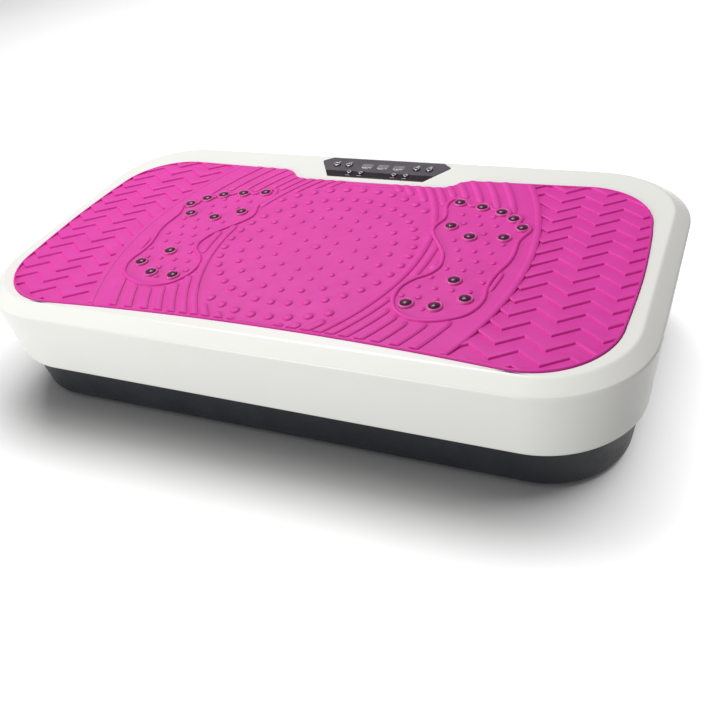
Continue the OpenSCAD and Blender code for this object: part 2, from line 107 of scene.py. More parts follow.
def line(p, q, n):
    """Points from p towards q, without either end."""
    t = np.linspace(0, 1, n + 1)[1:-1, None]
    return np.asarray(p, float) * (1 - t) + np.asarray(q, float) * t


def rounded_rect(l, w, r, corner=28, long_side=24, short_side=10):
    """Rectangle with round corners, with the given number of steps round a corner and along a side."""
    x, y = l / 2 - r, w / 2 - r
    corners = [arc(x, y, r, 0, 90, corner), arc(-x, y, r, 90, 180, corner),
               arc(-x, -y, r, 180, 270, corner), arc(x, -y, r, 270, 360, corner)]
    parts = []
    for i, c in enumerate(corners):
        nxt = corners[(i + 1) % 4]
        parts += [c, line(c[-1], nxt[0], long_side if i % 2 == 0 else short_side)]
    return np.concatenate(parts)


def offset(points, d):
    """Closed outline moved outwards by d (it runs anticlockwise)."""
    points = np.asarray(points, float)
    before, after = np.roll(points, 1, 0), np.roll(points, -1, 0)
    a, b = points - before, after - points
    na = np.stack([a[:, 1], -a[:, 0]], 1) / np.linalg.norm(a, axis=1)[:, None]
    nb = np.stack([b[:, 1], -b[:, 0]], 1) / np.linalg.norm(b, axis=1)[:, None]
    n = na + nb
    n /= np.maximum(1e-9, (n * n).sum(1))[:, None] / 2
    return points + d * n


def resample(points, step, closed=False):
    """The same path in even steps of about step."""
    p = np.vstack([points, points[:1]]) if closed else np.asarray(points, float)
    s = np.concatenate([[0], np.cumsum(np.linalg.norm(np.diff(p, axis=0), axis=1))])
    n = max(2, int(round(s[-1] / step)))
    t = np.linspace(0, s[-1], n + 1)[: n if closed else n + 1]
    return np.stack([np.interp(t, s, p[:, k]) for k in range(p.shape[1])], 1)


def smooth_path(points, closed, n=12):
    """Catmull-Rom curve through the points."""
    p = np.asarray(points, float)
    out = []
    count = len(p) if closed else len(p) - 1
    for i in range(count):
        if closed:
            a, b, c, d = p[i - 1], p[i], p[(i + 1) % len(p)], p[(i + 2) % len(p)]
        else:
            a, b, c, d = p[max(i - 1, 0)], p[i], p[i + 1], p[min(i + 2, len(p) - 1)]
        t = np.linspace(0, 1, n + 1)[:-1, None]
        out.append(0.5 * (2 * b + (c - a) * t + (2 * a - 5 * b + 4 * c - d) * t**2
                          + (3 * b - a - 3 * c + d) * t**3))
    if not closed:
        out.append(p[-1:])
    return np.concatenate(out)


def bend(u, b, v, n):
    """Points of a curve from u to v, pulled towards the corner b."""
    return [u * (1 - t) ** 2 + 2 * b * t * (1 - t) + v * t**2 for t in np.linspace(0, 1, n + 1)]


def round_corners(points, r, n=5):
    """Closed polygon with each corner cut by an arc-like curve that starts r before it."""
    p = np.asarray(points, float)
    out = []
    for i, b in enumerate(p):
        a, c = p[i - 1], p[(i + 1) % len(p)]
        u = b + (a - b) * r / np.linalg.norm(a - b)
        v = b + (c - b) * r / np.linalg.norm(c - b)
        out += bend(u, b, v, n)
    return np.array(out)


def mirror(points):
    """Outline or path mirrored left to right, in the same winding."""
    return np.asarray(points)[::-1] * [-1, 1]


def left_foot(points):
    """The right foot's points as they lie in the left: mirrored, a bit shorter and nearer the middle."""
    p = np.asarray(points, float)
    up = p[:, 1] - LEFT_HEEL_Y
    x = LEFT_SHIFT[0] + LEFT_SHRINK[0] * up - p[:, 0]
    y = p[:, 1] - LEFT_SHIFT[1] - LEFT_SHRINK[1] * up
    return np.stack([x, y], 1)[::-1]


def mat_outline():
    """The mat's outline, anticlockwise from the middle of its front edge."""
    front_l = 232
    big_r = (front_l**2 + MAT_BOW**2) / (2 * MAT_BOW)
    x = np.linspace(0, front_l, 24)
    front = np.stack([x, MAT_FRONT_Y + MAT_BOW - big_r + np.sqrt(big_r**2 - x**2)], 1)
    rise = MAT_REAR_Y - 4 - NOTCH_Y
    turn = math.degrees(math.acos(1 - rise / (2 * NOTCH_R)))
    run = 2 * NOTCH_R * math.sin(math.radians(turn))
    end = smooth_path([(306.9, -93.5), (308.7, -50), (309, -8), (306.5, 44), (303.9, 70.1)], False, 8)
    half = np.vstack([
        front,
        arc(front_l, -93, 75, -84, -2, 28),
        end,
        arc(235, MAT_REAR_Y - 69, 69, 5, 88, 26),
        arc(NOTCH_X + run, NOTCH_Y + rise - NOTCH_R, NOTCH_R, 90, 90 + turn, 12),
        arc(NOTCH_X, NOTCH_Y + NOTCH_R, NOTCH_R, 270 + turn, 270, 12)[1:],
    ])
    loop = np.vstack([half, mirror(half)[:-1]])
    return resample(loop, 3.0, closed=True)


# ---------------------------------------------------------------- meshes
def lift(points, z):
    """2-D points at height z, which is a number or one per point."""
    p = np.asarray(points, float)
    return np.column_stack([p, np.broadcast_to(z, len(p))])


def inset(section, d, z=None):
    """Section (height, length, width, corner radius) drawn in by d, at height z if one is given."""
    height, length, width, radius = section
    return (height if z is None else z, length - 2 * d, width - 2 * d, radius - d)


def fillet_start(b, q, r):
    """Section on the way from b to q where a fillet of reach r at b begins."""
    travel = math.hypot(q[0] - b[0], (q[1] - b[1]) / 2)
    return b + (q - b) * min(0.49, r / travel)


def filleted(sections, radii, n=5):
    """Path of sections with its corners rounded. radii gives each corner's reach in mm."""
    p = np.array(sections, float)
    out = [p[0]]
    for i in range(1, len(p) - 1):
        r = radii.get(i, 0)
        if not r:
            out.append(p[i])
            continue
        a, b, c = p[i - 1], p[i], p[i + 1]
        out += bend(fillet_start(b, a, r), b, fillet_start(b, c, r), n)
    out.append(p[-1])
    return out


def section_loops(sections):
    """Loops of points for a stack of sections."""
    return [lift(rounded_rect(s[1], s[2], s[3]), s[0]) for s in sections]


def shade(mesh, sharp):
    """Smooth shading, with a crease where faces meet at more than sharp degrees."""
    for p in mesh.polygons:
        p.use_smooth = True
    mesh.set_sharp_from_angle(angle=math.radians(sharp))


class Build:
    """Collects loops of points into one bmesh, in millimetres."""

    def __init__(self):
        self.bm = bmesh.new()

    def loop(self, points):
        return [self.bm.verts.new(Vector(p) * MM) for p in points]

    def skin(self, loops, closed=True):
        """Quads between successive loops of equal count; returns the vertex loops."""
        rows = [l if isinstance(l[0], bmesh.types.BMVert) else self.loop(l) for l in loops]
        for a, b in zip(rows, rows[1:]):
            n = len(a)
            for i in range(n if closed else n - 1):
                j = (i + 1) % n
                self.bm.faces.new((a[i], a[j], b[j], b[i]))
        return rows

    def fill(self, *loops):
        """Flat cap between the first loop and the holes in it."""
        edges = []
        for l in loops:
            for i, v in enumerate(l):
                w = l[(i + 1) % len(l)]
                edges.append(self.bm.edges.get((v, w)) or self.bm.edges.new((v, w)))
        bmesh.ops.triangle_fill(self.bm, edges=edges, use_beauty=True, normal=(0, 0, 1))

    def face(self, loop):
        return self.bm.faces.new(loop)

    def stack(self, outline, steps):
        """Closed solid through the outline moved out by d at height z, for each (d, z) in steps."""
        rows = self.skin([lift(offset(outline, d), z) for d, z in steps])
        self.face(rows[0])
        self.face(rows[-1])

    def mesh(self, name, sharp=40):
        bmesh.ops.recalc_face_normals(self.bm, faces=self.bm.faces)
        m = bpy.data.meshes.new(name)
        self.bm.to_mesh(m)
        self.bm.free()
        shade(m, sharp)
        return m


def add_object(name, mesh, material):
    o = bpy.data.objects.new(name, mesh)
    bpy.context.scene.collection.objects.link(o)
    o.data.materials.append(material)
    return o


def piece(name, mesh, material, body, slot, *nodes):
    """A finished piece that rides on body, in the given material, and stands for nodes; slot is not used."""
    o = add_object(name, mesh, material)
    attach(o, body)
    if nodes:
        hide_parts(*nodes)
    return o


def evaluated_mesh(obj, name):
    """New mesh of the object with its modifiers applied."""
    dg = bpy.context.evaluated_depsgraph_get()
    m = bpy.data.meshes.new_from_object(obj.evaluated_get(dg))
    m.name = name
    return m


def boolean(mesh, cutters, name, sharp=40):
    """mesh after each (operation, cutter mesh) in turn."""
    for operation, cutter in cutters:
        a = bpy.data.objects.new("tmp_a", mesh)
        b = bpy.data.objects.new("tmp_b", cutter)
        for o in (a, b):
            bpy.context.scene.collection.objects.link(o)
        mod = a.modifiers.new("cut", "BOOLEAN")
        mod.operation, mod.object, mod.solver = operation, b, "EXACT"
        bpy.context.view_layer.update()
        result = evaluated_mesh(a, name)
        for o in (a, b):
            bpy.data.objects.remove(o)
        mesh = result
        assert len(mesh.polygons), name + " came out empty"
    bm = bmesh.new()
    bm.from_mesh(mesh)
    bmesh.ops.remove_doubles(bm, verts=bm.verts, dist=2e-6)
    bmesh.ops.dissolve_degenerate(bm, edges=bm.edges, dist=1e-6)
    bm.to_mesh(mesh)
    bm.free()
    shade(mesh, sharp)
    return mesh


def prism(outline, z0, z1):
    """Upright solid of the outline from z0 to z1."""
    b = Build()
    b.stack(outline, [(0, z0), (0, z1)])
    return b.mesh("prism")


def block(x0, x1, y0, y1, z0, z1):
    """Box mesh between these coordinates."""
    return prism([(x0, y0), (x1, y0), (x1, y1), (x0, y1)], z0, z1)


def lathe(build, profile, centre, segments=40):
    """Closed turned shape: profile is [(radius, z)] from bottom to top; radius 0 closes it."""
    a = np.linspace(0, 2 * math.pi, segments, endpoint=False)
    rows, previous = [], None
    for r, z in profile:
        if r < 1e-6:
            row = [build.bm.verts.new(Vector((centre[0], centre[1], z)) * MM)]
        else:
            row = build.loop(lift(np.stack([centre[0] + r * np.cos(a), centre[1] + r * np.sin(a)], 1), z))
        if previous is not None:
            below, above = len(previous), len(row)
            for i in range(segments):
                j = (i + 1) % segments
                quad = [previous[i % below], previous[j % below], row[j % above], row[i % above]]
                quad = list(dict.fromkeys(quad))
                if len(quad) > 2:
                    build.bm.faces.new(quad)
        previous = row
        rows.append(row)
    return rows


def ridge(build, path, half_width, height, z, closed=False, sink=0.5, steps=7):
    """Rounded raised line along a 2-D path, bedded sink below z."""
    p = np.asarray(path, float)
    if closed:
        t = np.roll(p, -1, 0) - np.roll(p, 1, 0)
    else:
        t = np.gradient(p, axis=0)
    n = np.stack([-t[:, 1], t[:, 0]], 1) / np.linalg.norm(t, axis=1)[:, None]
    a = np.linspace(0, math.pi, steps + 1)
    across = np.concatenate([[-half_width], -half_width * np.cos(a), [half_width]])
    up = np.concatenate([[-sink], height * np.abs(np.sin(a)) ** 0.8, [-sink]])
    rings = []
    last = len(p) - 1
    for i, (q, m) in enumerate(zip(p, n)):
        k = 1.0
        if not closed:
            from_end = min(i, last - i)
            k = (0.0, 0.62, 0.86)[from_end] if from_end < 3 else 1.0
        w = across * (0.35 + 0.65 * k)
        h = np.where(up > 0, up * k, up)
        rings.append(np.stack([q[0] + m[0] * w, q[1] + m[1] * w, z + h], 1))
    rows = build.skin(rings)
    if closed:
        a_row, b_row = rows[-1], rows[0]
        for i in range(len(a_row)):
            j = (i + 1) % len(a_row)
            build.bm.faces.new((a_row[i], a_row[j], b_row[j], b_row[i]))
    else:
        build.face(rows[0])
        build.face(rows[-1])


def dome(build, x, y, r, height, z, segments=14, rings=4, sink=0.3):
    """Half-round bump on height z, bedded sink below it."""
    profile = [(r, z - sink)] + [(r * math.cos(t), z + height * math.sin(t))
                                 for t in np.linspace(0, math.pi / 2, rings + 1)]
    profile[-1] = (0, z + height)
    rows = lathe(build, profile, (x, y), segments)
    build.face(rows[0])


# ---------------------------------------------------------------- materials
def srgb(r, g, b):
    """Linear colour of an 8-bit display colour."""
    def lin(c):
        c /= 255
        return c / 12.92 if c <= 0.04045 else ((c + 0.055) / 1.055) ** 2.4
    return (lin(r), lin(g), lin(b), 1)


def finish_material(name, low, high, rough=(0.3, 0.4), mottle=60, grain=1500, grain_depth=0.00002,
                    stretch=(1, 1, 1), metallic=0.0, coat=0.0, coat_rough=0.1, specular=0.5):
    """Procedural finish: colour mottled between two display colours, uneven gloss, fine grain."""
    m = bpy.data.materials.new(name)
    m.use_nodes = True
    nt = m.node_tree
    bsdf = nt.nodes["Principled BSDF"]
    bsdf.inputs["Metallic"].default_value = metallic
    bsdf.inputs["Coat Weight"].default_value = coat
    bsdf.inputs["Coat Roughness"].default_value = coat_rough
    bsdf.inputs["Specular IOR Level"].default_value = specular
    coord = nt.nodes.new("ShaderNodeTexCoord")
    mapping = nt.nodes.new("ShaderNodeMapping")
    mapping.inputs["Scale"].default_value = stretch
    nt.links.new(coord.outputs["Object"], mapping.inputs["Vector"])

    def noise(scale, detail=3, rough=0.55):
        n = nt.nodes.new("ShaderNodeTexNoise")
        n.inputs["Scale"].default_value = scale
        n.inputs["Detail"].default_value = detail
        n.inputs["Roughness"].default_value = rough
        nt.links.new(mapping.outputs["Vector"], n.inputs["Vector"])
        return n

    patches = noise(mottle)
    ramp = nt.nodes.new("ShaderNodeValToRGB")
    ramp.color_ramp.elements[0].position = 0.3
    ramp.color_ramp.elements[1].position = 0.7
    ramp.color_ramp.elements[0].color = srgb(*low)
    ramp.color_ramp.elements[1].color = srgb(*high)
    nt.links.new(patches.outputs["Fac"], ramp.inputs["Fac"])
    nt.links.new(ramp.outputs["Color"], bsdf.inputs["Base Color"])
    gloss = nt.nodes.new("ShaderNodeMapRange")
    gloss.inputs["From Min"].default_value = 0.3
    gloss.inputs["From Max"].default_value = 0.7
    gloss.inputs["To Min"].default_value = rough[0]
    gloss.inputs["To Max"].default_value = rough[1]
    nt.links.new(noise(mottle * 2.3, 4).outputs["Fac"], gloss.inputs["Value"])
    nt.links.new(gloss.outputs["Result"], bsdf.inputs["Roughness"])
    bump = nt.nodes.new("ShaderNodeBump")
    bump.inputs["Strength"].default_value = 0.6
    bump.inputs["Distance"].default_value = grain_depth
    nt.links.new(noise(grain, 2).outputs["Fac"], bump.inputs["Height"])
    nt.links.new(bump.outputs["Normal"], bsdf.inputs["Normal"])
    return m


MATS = {
    "shell": finish_material("shell_plastic", (240, 240, 235), (242, 242, 237), rough=(0.3, 0.33),
                             mottle=9, grain=900, grain_depth=0.000008, specular=0.4),
    "mat": finish_material("mat_rubber", (216, 50, 160), (222, 57, 167), rough=(0.52, 0.6),
                           mottle=40, grain=2600, grain_depth=0.00003, specular=0.3),
    "stud": finish_material("stud_gloss", (66, 20, 54), (86, 30, 70), rough=(0.26, 0.34),
                            mottle=300, grain=3000, grain_depth=0.000004, specular=0.4),
    "stud_rim": finish_material("stud_collar", (208, 76, 156), (218, 88, 166), rough=(0.3, 0.4),
                                mottle=200, grain=2600, grain_depth=0.00002, specular=0.4),
    "painted_steel": finish_material("painted_steel", (66, 68, 74), (84, 86, 92), rough=(0.4, 0.55),
                                     mottle=30, grain=1600, grain_depth=0.00003, metallic=0.2),
    "bright_steel": finish_material("bright_steel", (168, 170, 174), (196, 198, 202), rough=(0.16, 0.3),
                                    mottle=90, grain=1800, stretch=(1, 0.08, 1), metallic=1),
    "fastener": finish_material("zinc_fastener", (170, 168, 160), (204, 202, 192), rough=(0.22, 0.38),
                                mottle=500, grain=3200, metallic=1),
    "cast_alloy": finish_material("cast_alloy", (130, 132, 136), (158, 160, 164), rough=(0.42, 0.6),
                                  mottle=120, grain=1100, grain_depth=0.00008, metallic=0.85),
    "motor": finish_material("motor_can", (60, 62, 66), (82, 84, 90), rough=(0.26, 0.4),
                             mottle=40, grain=900, stretch=(1, 0.1, 1), metallic=0.7),
    "rubber": finish_material("black_rubber", (26, 26, 28), (40, 40, 42), rough=(0.6, 0.78),
                              mottle=80, grain=2400, grain_depth=0.00006),
    "board": finish_material("circuit_board", (18, 66, 40), (30, 92, 58), rough=(0.3, 0.42),
                             mottle=220, grain=1200, coat=0.3),
    "brass": finish_material("brass_pin", (186, 150, 76), (214, 180, 104), rough=(0.18, 0.3),
                             mottle=300, grain=2200, metallic=1),
    "panel": finish_material("panel_gloss", (84, 78, 86), (96, 90, 98), rough=(0.14, 0.22),
                             mottle=50, grain=2400, grain_depth=0.000004, coat=0.5, coat_rough=0.08),
    "panel_window": finish_material("panel_window", (120, 116, 122), (146, 142, 148), rough=(0.12, 0.2),
                                    mottle=240, grain=2400, grain_depth=0.000004, coat=0.6, coat_rough=0.06),
    "key": finish_material("key_gloss", (34, 34, 38), (50, 50, 56), rough=(0.1, 0.2),
                           mottle=260, grain=2600, grain_depth=0.000004, coat=0.5, coat_rough=0.08),
    "base": finish_material("base_plastic", (17, 18, 24), (26, 28, 34), rough=(0.42, 0.56),
                            mottle=26, grain=1500, grain_depth=0.00004),
    "rocker": finish_material("rocker_red", (150, 26, 24), (176, 36, 32), rough=(0.24, 0.34),
                              mottle=200, grain=2200, grain_depth=0.00001),
    "panel_dark": finish_material("panel_dark", (30, 16, 24), (40, 24, 33), rough=(0.22, 0.3),
                                  mottle=60, grain=2400, grain_depth=0.000004, specular=0.35),
    "print": finish_material("panel_print", (186, 186, 190), (206, 206, 210), rough=(0.3, 0.4),
                             mottle=400, grain=3000, grain_depth=0.000004),
}

def finish_cad_nodes():
    """Every CAD node takes the material of its slot."""
    for entry in frame["record"]["subparts"]:
        node = frame["nodes"].get(entry["node"])
        if node is not None:
            node.data.materials.clear()
            node.data.materials.append(MATS[entry["material_slot"]])


finish_cad_nodes()


# ---------------------------------------------------------------- deck shell
def deck_shell():
    """Thin shell with the mat's recess, the panel's pocket and the hole under the panel's board."""
    outline = mat_outline()
    panel_edge = round_corners(PANEL_XY, 1.6)
    board_hole = round_corners(BOARD_HOLE_XY, 2)
    pocket_z = PANEL_TOP_Z - PANEL_T
    path = [inset(RIM, 3, CEILING_Z), (CEILING_Z,) + RIM[1:], inset(CREASE, DECK_WALL, 118),
            inset(SKIRT, DECK_WALL), SKIRT, CREASE, RIM, inset(RIM, 3)]
    recess_steps = [(1.6, RIM_Z), (0.7, RIM_Z), (0.33, RIM_Z - 0.1), (0.1, RIM_Z - 0.33),
                    (0, RIM_Z - 0.7), (0, MAT_FLOOR_Z)]
    pocket_steps = [(1.2, RIM_Z), (0.6, RIM_Z), (0.3, RIM_Z - 0.12), (0.2, RIM_Z - 0.5), (0.2, pocket_z)]
    b = Build()
    rows = b.skin(section_loops(filleted(path, {3: 1.2, 4: 3.0, 5: 2.2, 6: 2.0})))
    recess = b.skin([lift(offset(outline, d), z) for d, z in recess_steps])
    pocket = b.skin([lift(offset(panel_edge, d), z) for d, z in pocket_steps])
    hole = b.skin([lift(board_hole, z) for z in (pocket_z, CEILING_Z)])
    b.fill(rows[-1], recess[0], pocket[0])
    b.fill(recess[-1])
    b.fill(pocket[-1], hole[0])
    b.fill(rows[0], hole[-1])
    piece("shell", b.mesh("shell", 50), MATS["shell"], "deck", "shell", "deck_shell")


deck_shell()


# ---------------------------------------------------------------- mat
RIB_CENTRE = (-127, -18)
RIB_RADII = [311.6, 296, 280.6, 267.2, 254.7, 243.6, 233.8, 224.4, 213.6, 204]
BORDER_R, WAIST_RIB_R, OUTER_RIB_R = 230, 318.5, 335
FIELD_R = 338.4
BUMP_CENTRE = (0, -26)
# each ring of bumps: its radius, their number, a bump's radius and height
BUMP_RINGS = [(19.5, 6, 3.1, 1.2), (41, 12, 3.1, 1.2), (58, 18, 3.3, 1.25), (77, 24, 4.0, 1.5),
              (97, 36, 4.6, 1.6), (119, 41, 5.2, 1.7)]
BUMP_LIMIT_R = RIB_RADII[6] - 4
INNER_CLEAR = 128
ZIG_X = [151.5, 172, 192, 212.5, 232.5, 253, 273, 293.5, 313.5]
ZIG_PEAK_Y, ZIG_STEP, ZIG_DROP = -4.5, 19.8, 15
ZIG_ROWS = range(-10, 10)
CHEVRON_LOW, CHEVRON_CUT_Z = 129.7, 128.6
CHEVRON_BORDER = 2.4


def slab():
    """The mat's blank: its outline with a rounded top edge."""
    gap, top = MAT_GAP, MAT_TOP_Z
    b = Build()
    b.stack(mat_outline(), [(-gap, MAT_FLOOR_Z + 0.05), (-gap, top - 0.8), (-gap - 0.1, top - 0.45),
                            (-gap - 0.35, top - 0.15), (-gap - 0.8, top), (-gap - 1.6, top)])
    return b.mesh("slab")


def disc(side, r):
    """Upright cylinder round the centre of one side's ribs."""
    return prism(circle(side * RIB_CENTRE[0], RIB_CENTRE[1], r, 360), *CUT_Z)


def chevron_relief(side):
    """Zigzag steps over the mat's end: each rises at once from the front, then falls to the rear."""
    top = MAT_TOP_Z
    low = CHEVRON_LOW
    steps = [(0, low), (0.4, low + 0.5 * (top - low)), (0.95, low + 0.76 * (top - low)),
             (1.7, low + 0.92 * (top - low)), (2.9, top), (ZIG_STEP - 0.6, low + 0.02)]
    b = Build()
    columns = []
    xs = ZIG_X if side > 0 else [-x for x in ZIG_X[::-1]]
    for x in xs:
        i = ZIG_X.index(abs(x))
        y0 = ZIG_PEAK_Y - (0 if i % 2 == 0 else ZIG_DROP)
        column = [(x, y0 + ZIG_STEP * k + dy, z) for k in ZIG_ROWS for dy, z in steps]
        columns.append([(x, column[0][1], CUT_Z[0])] + column + [(x, column[-1][1], CUT_Z[0])])
    rows = b.skin(columns)
    b.face(rows[0])
    b.face(rows[-1])
    return b.mesh("relief", 4)


def inside(points, polygon):
    """Which points lie in the closed polygon."""
    x, y = np.asarray(points, float).T
    hit = np.zeros(len(x), bool)
    p, q = np.asarray(polygon), np.roll(polygon, -1, 0)
    for (x0, y0), (x1, y1) in zip(p, q):
        if y0 != y1:
            beside = (y > min(y0, y1)) & (y <= max(y0, y1))
            hit ^= beside & (x < x0 + (y - y0) * (x1 - x0) / (y1 - y0))
    return hit


def distance(points, path):
    """Distance of each point from a closed path's nearest vertex."""
    d = np.linalg.norm(np.asarray(points)[:, None] - np.asarray(path)[None], axis=2)
    return d.min(1)


def foot_path():
    """Right foot mark: a closed line round the sole, with a lobe round each of the four small toes."""
    toes = STUD_XY[1:5]
    reach = [8.3, 8.0, 7.4, 7.2]
    inner = [(103, 27), (104, 37), (106.5, 44), (107.5, 50), (105.5, 60), (102, 70), (101.5, 80),
             (104.5, 87.5), (110.5, 89.8), (117, 87.5), (122, 82), (126, 76.5)]
    lobes = []
    for (x, y), r in zip(toes, reach):
        lobes += [(x + r * math.cos(math.radians(a)), y + r * math.sin(math.radians(a)))
                  for a in (158, 112, 66, 20)]
    outer = [(196, 37), (193, 28), (190.5, 18), (191, 8), (192, -5), (191, -20), (187, -35),
             (184, -50), (184, -65), (186, -80), (184, -93), (178, -105), (168, -113), (155, -119),
             (140, -121.5), (128, -119), (116, -111), (109, -98), (107, -85), (109, -73), (116, -61),
             (126, -51), (131, -40), (131, -30), (127, -15), (118, 0), (108, 15)]
    return resample(smooth_path(inner + lobes + outer, True, 10), 1.6, closed=True)


def rib_runs(radii, outline, foot, y_span=(-400, 400)):
    """Open runs of the ribs of these radii on the right half of the mat."""
    edge = offset(outline, 6)
    a = np.radians(np.arange(-62, 62, 0.4))
    runs = []
    for r in radii:
        p = np.stack([RIB_CENTRE[0] + r * np.cos(a), RIB_CENTRE[1] + r * np.sin(a)], 1)
        keep = inside(p, edge) & ~inside(p, foot) & (distance(p, foot) > 2.6)
        keep &= p[:, 0] > 4
        if r < BORDER_R:
            keep &= np.hypot(p[:, 0] - BUMP_CENTRE[0], p[:, 1] - BUMP_CENTRE[1]) > INNER_CLEAR
        keep &= (p[:, 1] > y_span[0]) & (p[:, 1] < y_span[1])
        start = None
        for i, k in enumerate(list(keep) + [False]):
            if k and start is None:
                start = i
            elif not k and start is not None:
                if i - start > 6:
                    runs.append(p[start:i])
                start = None
    return runs


def mat_middle():
    """The mat between its two chevron fields."""
    cuts = [("INTERSECT", disc(side, FIELD_R)) for side in (1, -1)]
    piece("mat", boolean(slab(), cuts, "mat", 35), MATS["mat"], "deck", "mat", "mat")


def mat_chevrons(outline):
    """The mat's two ends, with the chevrons inside a plain border."""
    inner = offset(outline, -CHEVRON_BORDER)
    for side, name in ((1, "mat_chevrons_right"), (-1, "mat_chevrons_left")):
        x0, x1 = sorted((100 * side, 400 * side))
        relief = [("DIFFERENCE", chevron_relief(side))]
        cutter = boolean(prism(inner, CHEVRON_CUT_Z, CUT_Z[1]), relief, "cutter", 5)
        cuts = [("DIFFERENCE", disc(side, FIELD_R)),
                ("INTERSECT", block(x0, x1, -300, 300, *CUT_Z)),
                ("DIFFERENCE", cutter)]
        piece(name, boolean(slab(), cuts, name, 30), MATS["mat"], "deck", "mat")


def mat_ribs(outline, foot):
    """Curved ribs round both foot marks, trimmed to the mat's edge."""
    b = Build()
    z = MAT_TOP_Z - 0.1
    for radii, half_width, height in ((RIB_RADII, 4.2, 1.6), ([OUTER_RIB_R], 3.1, 0.75)):
        for run in rib_runs(radii, outline, foot):
            ridge(b, run, half_width, height, z)
        for run in rib_runs(radii, outline, mirror(left_foot(foot))):
            ridge(b, mirror(run), half_width, height, z)
    limit = prism(offset(outline, -MAT_GAP - 2.2), MAT_TOP_Z - 2, CUT_Z[1])
    ribs = boolean(b.mesh("ribs"), [("INTERSECT", limit)], "mat_ribs", 35)
    piece("mat_ribs", ribs, MATS["mat"], "deck", "mat")


def mat_foot_lines(foot):
    b = Build()
    for path in (foot, left_foot(foot)):
        ridge(b, path, 2.4, 1.7, MAT_TOP_Z, closed=True)
    piece("mat_foot_lines", b.mesh("mat_foot_lines"), MATS["mat"], "deck", "mat")


def open_sole(x, y, foot):
    """Whether a small bump at x, y on the right foot clears the foot's line and the studs."""
    point = [(x, y)]
    stud_gap = min(math.hypot(x - u, y - v) for u, v in STUD_XY)
    return inside(point, foot)[0] and distance(point, foot)[0] > 5.5 and stud_gap > 10.5


def mat_bumps(outline, foot):
    """Straight lines front and rear, ribs in the feet's waists, rings of bumps, and the soles' bumps."""
    b = Build()
    for y, x in ((-154.5, 24), (104, 30)):
        ridge(b, resample([(-x, y), (x, y)], 2), 1.6, 0.8, MAT_TOP_Z)
    for run in rib_runs([WAIST_RIB_R], outline, foot, (-76, -34)):
        for path in (run, left_foot(run)):
            ridge(b, path, 2.6, 1.5, MAT_TOP_Z - 0.1)
    dome(b, *BUMP_CENTRE, 4.5, 1.4, MAT_TOP_Z)
    for r, count, size, height in BUMP_RINGS:
        for k in range(count):
            a = math.radians(90 + 360 * k / count)
            x, y = BUMP_CENTRE[0] + r * math.cos(a), BUMP_CENTRE[1] + r * math.sin(a)
            if math.hypot(abs(x) - RIB_CENTRE[0], y - RIB_CENTRE[1]) < BUMP_LIMIT_R - size:
                dome(b, x, y, size, height, MAT_TOP_Z)
    for j in range(-9, 8):
        for i in range(-3, 6):
            x, y = 139 + 16 * i + 7 * (j % 2), -7 + 16.4 * j
            if open_sole(x, y, foot):
                for u, v in ((x, y), left_foot([(x, y)])[0]):
                    dome(b, u, v, 3.1, 1.3, MAT_TOP_Z)
    piece("mat_bumps", b.mesh("mat_bumps"), MATS["mat"], "deck", "mat")


def mat():
    outline, foot = mat_outline(), foot_path()
    mat_middle()
    mat_chevrons(outline)
    mat_ribs(outline, foot)
    mat_foot_lines(foot)
    mat_bumps(outline, foot)


mat()


# ---------------------------------------------------------------- studs
def studs():
    """Domed magnet caps, each in a rounded collar."""
    rings, domes = Build(), Build()
    low, foot_z = MAT_TOP_Z - 0.6, MAT_TOP_Z + 0.1
    mid_r, half = (STUD_RIM_R + STUD_R) / 2 - 0.05, (STUD_RIM_R - STUD_R) / 2 + 0.05
    collar = [(STUD_R - 0.1, low)]
    collar += [(mid_r - half * math.cos(a), foot_z + 1.9 * math.sin(a)) for a in np.linspace(0, math.pi, 9)]
    collar.append((STUD_RIM_R, low))
    cap_r, rise = STUD_R - 0.15, STUD_TOP_Z - foot_z
    cap = [(cap_r, low)]
    cap += [(cap_r * math.cos(a), foot_z + rise * math.sin(a)) for a in np.linspace(0, math.pi / 2, 9)]
    cap[-1] = (0, STUD_TOP_Z)
    for x, y in np.vstack([STUD_XY, left_foot(STUD_XY)]):
        rows = lathe(rings, collar, (x, y), 36)
        rings.skin([rows[-1], rows[0]])
        domes.face(lathe(domes, cap, (x, y), 32)[0])
    piece("stud_rings", rings.mesh("stud_rings"), MATS["stud_rim"], "deck", "stud_rim", "stud_rims")
    piece("stud_caps", domes.mesh("stud_caps"), MATS["stud"], "deck", "stud", "stud_domes")


studs()


# ---------------------------------------------------------------- control panel
UPPER_KEYS = {"key_up": (-56, 150), "key_down": (-41, 150),
              "key_start": (41, 150), "key_stop": (56, 150)}
LOWER_KEYS = {"key_mode": (-34, 134), "key_speed": (-20, 134),
              "key_timer": (20, 134), "key_program": (34, 134)}
UPPER_KEY_R, LOWER_KEY_R = 4.2, 3.4
WINDOW_XY = [(-19, 152), (0, 152), (19, 152)]
BAND_Y, BAND_DROP = 137, 0.3


def window_outline(x, y, margin=0.0):
    return rounded_rect(14 + 2 * margin, 10 + 2 * margin, 1.3, 6, 2, 2) + [x, y]


def bar(x, y, half_length, thickness):
    """Outline of a printed bar that starts at height y on the panel."""
    return [(x - half_length, y), (x + half_length, y),
            (x + half_length, y + thickness), (x - half_length, y + thickness)]


def panel_cuts():
    """Holes for the keys and windows."""
    low, high = PANEL_TOP_Z - PANEL_T - 1, PANEL_TOP_Z + 1
    cuts = []
    for group, r in ((UPPER_KEYS, UPPER_KEY_R), (LOWER_KEYS, LOWER_KEY_R)):
        cuts += [("DIFFERENCE", prism(circle(x, y, r + 0.3), low, high)) for x, y in group.values()]
    return cuts + [("DIFFERENCE", prism(window_outline(x, y, 0.15), PANEL_TOP_Z - 1, high))
                   for x, y in WINDOW_XY]


